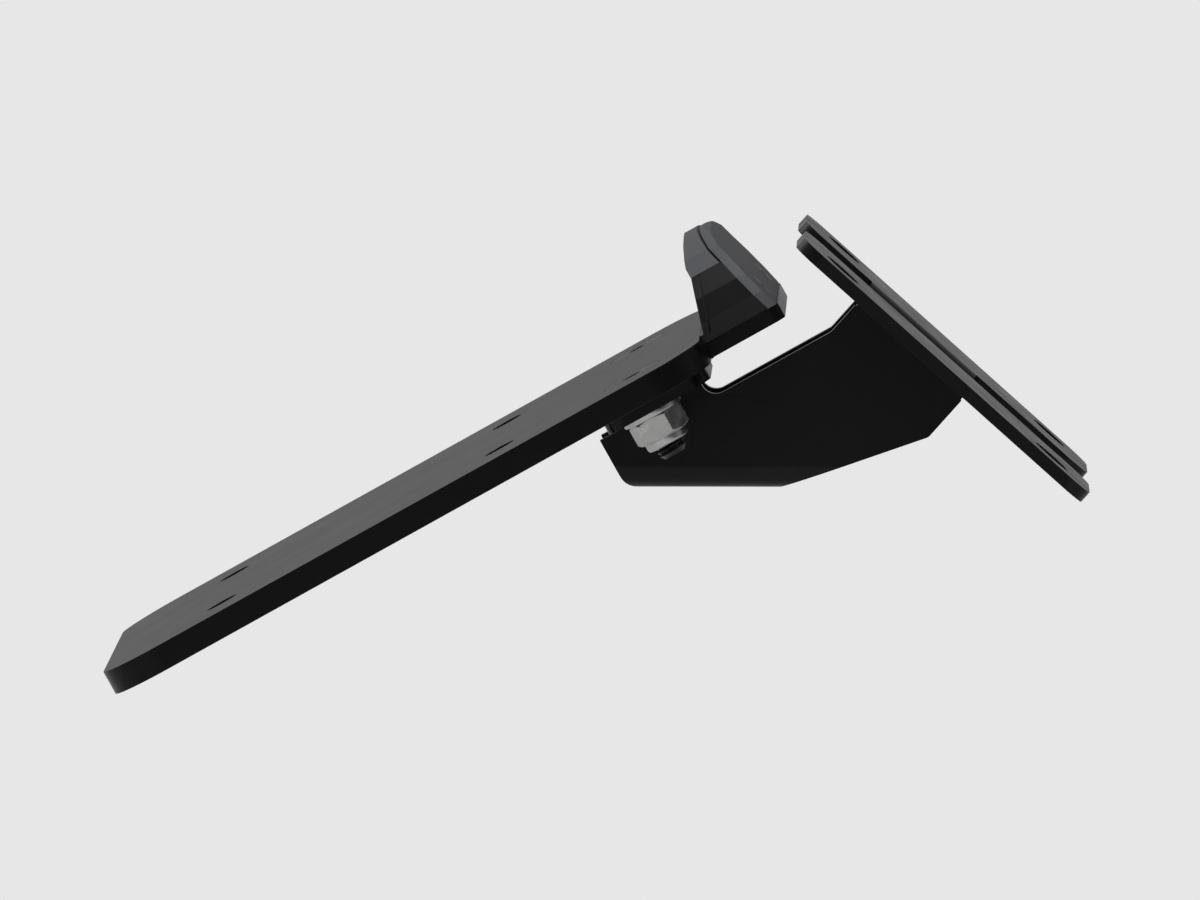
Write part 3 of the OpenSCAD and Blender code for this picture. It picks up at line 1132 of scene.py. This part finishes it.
    def build(self) -> None:
        """Build the bolts, washers, nuts and nylon rings."""
        flange = -self.layout.plate_t - self.sheet_t
        steel, zinc = (BLACK_OXIDE, Slot.BLACK_STEEL), (ZINC_PLATE, Slot.ZINC)
        for name, shape, z, (finish, slot), spin, node in (
            ("plate_bolts", self.bolt(), 0, steel, 1.0, "holder_bolts"),
            ("plain_washers", self.washer(), flange, zinc, 1.0, "holder_washers"),
            ("lock_nuts", self.nut(), flange - self.washer_t, zinc, 0.9, "holder_nuts"),
            (
                "nylon_rings",
                self.insert(),
                flange - self.washer_t,
                (NYLON, Slot.NYLON),
                1.0,
                "nut_inserts",
            ),
        ):
            places, turn = self.places(z)
            dress(self.rows.row(name, shape, places, turn, finish, spin), finish, node)


@dataclass(frozen=True)
class Lamp:
    """The number plate lamp's shells, lens, seals and board; sizes in millimetres."""

    nodes: dict[str, Object]
    ease: float = 0.2
    crown_ease: float = 0.32
    lens_ease: float = 0.12
    gasket_ease: float = 0.08
    board_ease: float = 0.06
    grommet_ease: float = 0.25
    broad_share: float = 0.9

    def build(self) -> None:
        """Build the pieces, each as a copy of its CAD node with broken edges."""
        for node, name, ease, finish, slot in (
            ("light_body", "lamp_body", self.ease, MOULDED_ABS, Slot.BODY),
            ("light_crown", "lamp_crown", self.crown_ease, GREY_ANODISED, Slot.TRIM),
            ("light_front_plate", "lamp_front_plate", self.ease, GREY_ANODISED, Slot.TRIM),
            ("light_lens", "lamp_lens", self.lens_ease, CLEAR_LENS, Slot.LENS),
            ("light_gasket", "lamp_gasket", self.gasket_ease, RUBBER, Slot.RUBBER),
            ("light_circuit_board", "lamp_board", self.board_ease, SOLDER_MASK, Slot.BOARD),
            ("cable_grommet", "tongue_grommet", self.grommet_ease, RUBBER, Slot.RUBBER),
        ):
            piece = dress(eased_copy(self.nodes[node], name, ease), finish, node)
            # The lens's side faces get painted shade in black
            if node == "light_lens":
                self.paint_lens_edge_shade(piece)

    def paint_lens_edge_shade(self, lens: Object) -> None:
        """Paint shade on the lens's side faces in black, and leave its two broad faces clear.

        Args:
            lens: The lens.
        """
        # Painted shade: the side faces take the black material
        lens.data.materials.append(LENS_EDGE_SHADE.material())
        broad = max(lens.data.polygons, key=lambda face: face.area).normal.copy()
        for face in lens.data.polygons:
            face.material_index = int(abs(face.normal.dot(broad)) < self.broad_share)


@dataclass(frozen=True)
class SmallScrew:
    """A small countersunk screw with a hexagon socket; sizes in millimetres.

    The socket's width is a share of the shank's radius, and its depth one of the head's
    cone.
    """

    head_r: float
    shank_r: float
    length: float
    rim: float = 0.08
    socket_af_share: float = 1.04
    socket_depth_share: float = 0.9
    least_depth: float = 0.5
    socket_taper: float = 0.95
    chamfer: float = 0.06
    drill_point: float = 0.12
    tip: float = 0.25

    def mesh(self, name: str) -> Mesh:
        """Make the screw, its head at z = 0 and its tip up z.

        Args:
            name: The mesh's name.

        Returns:
            The mesh.
        """
        socket = hexagon(self.shank_r * self.socket_af_share)
        cone = self.head_r - self.shank_r
        depth = max(cone * self.socket_depth_share, self.least_depth)
        rings = [
            ring(POINT_R, depth + self.drill_point),
            ring(lambda a: socket(a) * self.socket_taper, depth),
            ring(socket, self.chamfer),
            ring(lambda a: socket(a) + self.chamfer, 0.0),
            ring(self.head_r - self.rim, 0.0),
            ring(self.head_r - self.rim / 8, self.rim / 2),
            ring(self.head_r - self.rim / 2, self.rim),
            ring(self.shank_r, cone),
            ring(self.shank_r, self.length - self.tip),
            ring(self.shank_r - self.tip, self.length),
        ]
        return loft(name, rings)


@dataclass(frozen=True)
class DomedScrew:
    """A board screw with a domed head and a hexagon socket; sizes in millimetres."""

    head_r: float = 1.4
    head_h: float = 0.6
    # Each ring's distance in from the head's side, and its depth
    dome: Profile = ((0.42, 0.03), (0.15, 0.16), (0.0, 0.34))
    shank_r: float = 0.8
    length: float = 3.1
    socket_af_share: float = 1.2
    socket_depth: float = 0.3
    socket_taper: float = 0.95
    chamfer_w: float = 0.06
    chamfer_h: float = 0.04
    tip: float = 0.2

    def mesh(self, name: str) -> Mesh:
        """Make the screw, its head's top at z = 0 and its tip up z.

        Args:
            name: The mesh's name.

        Returns:
            The mesh.
        """
        socket = hexagon(self.shank_r * self.socket_af_share)
        rings = [
            ring(POINT_R, self.socket_depth + self.chamfer_h),
            ring(lambda a: socket(a) * self.socket_taper, self.socket_depth),
            ring(socket, self.chamfer_h),
            ring(lambda a: socket(a) + self.chamfer_w, 0.0),
            *rings_of([(self.head_r - inward, z) for inward, z in self.dome]),
            ring(self.head_r, self.head_h),
            ring(self.shank_r, self.head_h),
            ring(self.shank_r, self.length - self.tip),
            ring(self.shank_r - self.tip, self.length),
        ]
        return loft(name, rings)


@dataclass(frozen=True)
class Diode:
    """A light-emitting diode: case, gel and feet, its top at z = 0; sizes in millimetres."""

    side: float = 2.8
    height: float = 0.7
    case_round: float = 0.06
    cup_r: float = 1.12
    cup_depth: float = 0.28
    cup_taper: float = 0.14
    cup_rim_w: float = 0.03
    cup_rim_h: float = 0.02
    # The gel's rings: each one's distance in from the cup's side, and its depth
    gel_sag: Profile = ((0.03, 0.07), (0.3, 0.1), (0.616, 0.13))
    gel_depth: float = 0.135
    feet_span: float = 3
    foot_w: float = 0.5
    foot_l: float = 2.2
    foot_h: float = 0.2
    foot_ease: float = 0.05

    def case(self) -> Mesh:
        """The square case with a round cup in its top."""
        side = rounded_square(self.side)
        rings = [
            ring(POINT_R, self.cup_depth),
            ring(self.cup_r - self.cup_taper, self.cup_depth),
            ring(self.cup_r, self.cup_rim_h),
            ring(self.cup_r + self.cup_rim_w, 0.0),
            ring(lambda a: side(a) - self.case_round, 0.0),
            ring(side, self.case_round),
            ring(side, self.height),
        ]
        return loft("case_shape", rings)

    def gel(self) -> Mesh:
        """The phosphor gel in the cup, a little sunk in the middle."""
        profile = [
            (self.cup_r - self.cup_taper, self.cup_depth),
            *((self.cup_r - inward, z) for inward, z in self.gel_sag),
            (POINT_R, self.gel_depth),
        ]
        return loft("gel_shape", rings_of(profile))

    def feet(self) -> Mesh:
        """The two tinned feet under the case."""
        boxes = []
        for side in SIDES:
            middle = side * (self.feet_span - self.foot_w) / 2
            low = (middle - self.foot_w / 2, -self.foot_l / 2, self.height - self.foot_h)
            boxes.append((low, (middle + self.foot_w / 2, self.foot_l / 2, self.height)))
        return blocks("feet_shape", boxes, self.foot_ease)


@dataclass(frozen=True)
class Chip:
    """A chip part that lies with its top at z = 0; sizes in millimetres."""

    length: float = 2
    width: float = 1.25
    height: float = 0.5
    end: float = 0.38
    end_ease: float = 0.07
    core_reach: float = 0.04
    core_inset: float = 0.02
    core_drop: float = 0.03
    core_ease: float = 0.04

    def core(self) -> Mesh:
        """The glazed middle, which reaches a little into both ends."""
        far = self.length / 2 - self.end + self.core_reach
        side = self.width / 2 - self.core_inset
        box = ((-far, -side, self.core_drop), (far, side, self.height))
        return blocks("core_shape", [box], self.core_ease)

    def ends(self) -> Mesh:
        """The two tinned ends."""
        side = self.width / 2
        boxes = [
            ((low, -side, 0.0), (low + self.end, side, self.height))
            for low in (-self.length / 2, self.length / 2 - self.end)
        ]
        return blocks("ends_shape", boxes, self.end_ease)


@dataclass(frozen=True)
class LampSmallParts:
    """Diodes, chip parts and small screws of the lamp; places in millimetres."""

    layout: Layout
    rows: RowTree
    diode: Diode = Diode()
    chip: Chip = Chip()
    board_screw: DomedScrew = DomedScrew()
    lens_screw: SmallScrew = SmallScrew(1.4, 1.0, 3.8)
    front_screw: SmallScrew = SmallScrew(1.9, 1.0, 3.6)
    mount_screw: SmallScrew = SmallScrew(2.9, 1.5, 4.9)
    board_face: float = 2.7
    board_height: float = 4.967
    diode_pitch: float = 8
    chip_offset: float = 3
    board_screw_y: float = 13.6
    lens_screw_y: float = 19.55
    lens_screw_height: float = 4.6
    front_screw_y: float = 13.5
    front_screw_height: float = 1.6
    mount_screw_x: float = 4.7
    mount_screw_y: float = 19.5

    def on_board(self, height: float, sides: Iterable[float]) -> list[Matrix]:
        """Find places along the board's middle, at one height over its face.

        Args:
            height: Height over the board's face.
            sides: Each place's distance from the lamp's middle.

        Returns:
            The places.
        """
        depth = self.board_face - height
        return [self.layout.lens(y, self.board_height, depth) for y in sides]

    def build(self) -> None:
        """Build the small parts, one row of copies for each kind."""
        layout = self.layout
        pitch = self.diode_pitch
        middles = (-pitch, 0.0, pitch)
        diodes = self.on_board(self.diode.height, middles)
        resistors = self.on_board(self.chip.height, [y + self.chip_offset for y in middles])
        guard = self.on_board(self.chip.height, [-pitch - self.chip_offset])
        board_pair = self.on_board(
            self.board_screw.head_h, [side * self.board_screw_y for side in SIDES]
        )
        lens_pair = [
            layout.lens(side * self.lens_screw_y, self.lens_screw_height) for side in SIDES
        ]
        front_pair = [
            layout.front(side * self.front_screw_y, self.front_screw_height) for side in SIDES
        ]
        mount_pair = [
            layout.upward(self.mount_screw_x, side * self.mount_screw_y, -layout.plate_t)
            for side in SIDES
        ]
        lens_screw = self.lens_screw.mesh("lens_screw_shape")
        front_screw = self.front_screw.mesh("front_screw_shape")
        mount_screw = self.mount_screw.mesh("lamp_screw_shape")
        board_screw = self.board_screw.mesh("board_screw_shape")
        led, chip = Slot.LED, Slot.CHIP
        steel, zinc = (BLACK_OXIDE, Slot.BLACK_STEEL), (ZINC_PLATE, Slot.ZINC)
        for name, shape, places, (finish, slot), node in (
            ("diode_cases", self.diode.case(), diodes, (LED_CASE, led), "light_leds"),
            ("diode_gel", self.diode.gel(), diodes, (PHOSPHOR, led), "light_leds"),
            ("diode_feet", self.diode.feet(), diodes, (SOLDER, led), "light_leds"),
            ("chip_cores", self.chip.core(), resistors, (CHIP_TOP, chip), "light_resistors"),
            ("chip_ends", self.chip.ends(), resistors, (SOLDER, chip), "light_resistors"),
            ("guard_core", self.chip.core(), guard, (CHIP_TOP, chip), "light_diode"),
            ("guard_ends", self.chip.ends(), guard, (SOLDER, chip), "light_diode"),
            ("board_screw_pair", board_screw, board_pair, zinc, "board_screws"),
            ("lens_screw_pair", lens_screw, lens_pair, steel, "lens_screws"),
            ("front_screw_pair", front_screw, front_pair, steel, "front_plate_screws"),
            ("lamp_screw_pair", mount_screw, mount_pair, steel, "light_mount_screws"),
        ):
            where, turn = split(places)
            dress(self.rows.row(name, shape, where, turn, finish), finish, node)


@dataclass(frozen=True)
class Softbox:
    """An area light that faces the part: place and size in metres, power in watts."""

    name: str
    place: tuple[float, float, float]
    size: tuple[float, float]
    power: float
    lights_matt: bool = True
    lights_gloss: bool = True

    def hang(self, centre: Vector) -> None:
        """Put the light in the scene.

        Args:
            centre: The part's middle, which the place is counted from.
        """
        data = bpy.data.lights.new(self.name, "AREA")
        data.shape = "RECTANGLE"
        data.size, data.size_y = self.size
        data.energy = self.power
        lamp = bpy.data.objects.new(self.name, data)
        lamp.location = centre + Vector(self.place)
        lamp.rotation_euler = (-Vector(self.place)).to_track_quat("-Z", "Y").to_euler()
        lamp.visible_diffuse = self.lights_matt
        lamp.visible_glossy = self.lights_gloss
        bpy.context.scene.collection.objects.link(lamp)


SOFTBOXES = (
    # No surface mirrors it, so black faces stay black
    Softbox("front_softbox", (-0.25, -1.3, 1.05), (1.7, 1.1), 24.0, lights_gloss=False),
    # Only mirrored, by the upper facet of the lamp's end
    Softbox("edge_card", (0.15, -0.85, 1.25), (1.0, 0.6), 26.0, lights_matt=False),
    Softbox("rear_softbox", (-1.4, 0.9, 0.7), (1.3, 1.1), 6.5),
    Softbox("top_softbox", (-0.1, 0.1, 1.5), (0.7, 0.5), 3.0),
)


@dataclass(frozen=True)
class Studio:
    """The plain pale floor, the surroundings, the soft lights and the camera, in metres."""

    centre: Vector
    background: str = "#e7e7e7"
    # Floor: where its shadows start and end to fade, and how it dims in gloss to the front
    lit_floor: str = "#f8f8f8"
    floor_drop: float = 0.2
    floor_radius: float = 60.0
    floor_sides: int = 128
    shadow_fade: tuple[float, float] = (0.35, 0.9)
    front_fade: tuple[float, float] = (-1.4, 0.0)
    front_share: float = 0.1
    # Surroundings: their light from the front to the rear, for soft light and in gloss
    soft_reach: tuple[float, float] = (-0.5, 0.9)
    soft_light: tuple[float, float] = (0.04, 0.35)
    gloss_reach: tuple[float, float] = (-0.8, 0.1)
    gloss_light: tuple[float, float] = (0.04, 0.53)
    # Camera: counted from the lamp, as read from the photograph's perspective
    lamp_place: tuple[float, float, float] = (-0.033, 0.0, 0.012)
    azimuth_deg: float = 0.6
    elevation_deg: float = 4.2
    distance: float = 2.7
    view_width: float = 0.19
    clip_end: float = 200

    def floor(self) -> None:
        """Make the floor, wide enough to fill the view behind the part."""
        work = bmesh.new()
        bmesh.ops.create_circle(
            work, cap_ends=True, segments=self.floor_sides, radius=self.floor_radius
        )
        mesh = mesh_of(work, "floor")
        middle = self.centre - Vector((0, 0, self.floor_drop))
        mesh.transform(Matrix.Translation(middle))
        floor = link("floor", mesh)
        floor.data.materials.append(self.floor_material(middle))
        floor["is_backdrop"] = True

    def floor_material(self, middle: Vector) -> Material:
        """Make the floor lit and shadowed near the part, an even pale grey further off.

        The even grey shows to the camera, and less of it in gloss to the front. From below,
        the floor is clear.

        Args:
            middle: The floor's middle.

        Returns:
            The material.
        """
        made = bpy.data.materials.new("pale_floor")
        tree = empty_tree(made)
        place = add_node(tree, "ShaderNodeTexCoord").outputs["Object"]
        distance = add_node(
            tree,
            "ShaderNodeVectorMath",
            settings={"operation": "DISTANCE"},
            sockets={0: place, 1: middle},
        )
        far = ramp(tree, distance.outputs["Value"], self.shadow_fade)
        depth = add_node(tree, "ShaderNodeSeparateXYZ", sockets={0: place}).outputs["Y"]
        in_gloss = ramp(tree, depth, self.front_fade, (self.front_share, 1.0))
        rays = add_node(tree, "ShaderNodeLightPath")
        glossy = combine(tree, "MULTIPLY", shiny_rays(tree, rays), in_gloss)
        seen = combine(tree, "MAXIMUM", glossy, rays.outputs["Is Camera Ray"])
        share = combine(tree, "MULTIPLY", far, seen)
        lit = add_node(tree, "ShaderNodeBsdfDiffuse", sockets={"Color": linear(self.lit_floor)})
        even = add_node(tree, "ShaderNodeEmission", sockets={"Color": linear(self.background)})
        above = mixed(tree, share, lit.outputs[0], even.outputs[0])
        from_below = add_node(tree, "ShaderNodeNewGeometry").outputs["Backfacing"]
        clear = add_node(tree, "ShaderNodeBsdfTransparent").outputs[0]
        both = mixed(tree, from_below, above, clear)
        add_node(tree, "ShaderNodeOutputMaterial", sockets={"Surface": both})
        return made

    def world(self) -> None:
        """Make the surroundings: pale to the camera, dimmer in gloss and for soft light.

        The last two are darkest in front, at the photographer's side of the studio.
        """
        world = bpy.data.worlds.new("studio")
        bpy.context.scene.world = world
        tree = empty_tree(world)
        rays = add_node(tree, "ShaderNodeLightPath")
        toward = add_node(tree, "ShaderNodeTexCoord").outputs["Generated"]
        rearward = add_node(tree, "ShaderNodeSeparateXYZ", sockets={0: toward}).outputs["Y"]
        soft, gloss = (
            add_node(
                tree,
                "ShaderNodeBackground",
                sockets={"Strength": ramp(tree, rearward, reach, light)},
            ).outputs[0]
            for reach, light in (
                (self.soft_reach, self.soft_light),
                (self.gloss_reach, self.gloss_light),
            )
        )
        pale = add_node(
            tree,
            "ShaderNodeBackground",
            sockets={"Color": linear(self.background), "Strength": 1.0},
        )
        room = mixed(tree, shiny_rays(tree, rays), soft, gloss)
        seen = mixed(tree, rays.outputs["Is Camera Ray"], room, pale.outputs[0])
        add_node(tree, "ShaderNodeOutputWorld", sockets={"Surface": seen})

    def camera(self) -> None:
        """Set the camera at the photograph's viewing angle, through a long lens."""
        data = bpy.data.cameras.new("camera")
        data.lens = data.sensor_width * self.distance / self.view_width
        data.clip_end = self.clip_end
        camera = bpy.data.objects.new("camera", data)
        turn, rise = math.radians(self.azimuth_deg), math.radians(self.elevation_deg)
        back = Vector(
            (
                math.sin(turn) * math.cos(rise),
                -math.cos(turn) * math.cos(rise),
                math.sin(rise),
            )
        )
        camera.location = Vector(self.lamp_place) + back * self.distance
        aim = self.centre - camera.location
        camera.rotation_euler = aim.to_track_quat("-Z", "Y").to_euler()
        bpy.context.scene.collection.objects.link(camera)
        bpy.context.scene.camera = camera

    def build(self) -> None:
        """Build the stage."""
        bpy.context.scene.view_settings.view_transform = "Standard"
        self.floor()
        self.world()
        for softbox in SOFTBOXES:
            softbox.hang(self.centre)
        self.camera()


def main() -> None:
    """Load the frame, build every piece around it, and set the stage."""
    logging.basicConfig(level=logging.INFO, format="%(message)s")
    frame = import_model()
    cad_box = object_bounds()
    nodes = frame["nodes"]
    layout = Layout()
    rows = RowTree()
    for assembly in (
        Sheetwork(nodes),
        PlateFasteners(layout, rows),
        Lamp(nodes),
        LampSmallParts(layout, rows),
    ):
        assembly.build()
    Studio(centre=(cad_box[0] + cad_box[1]) / 2).build()


if __name__ == "__main__":
    main()
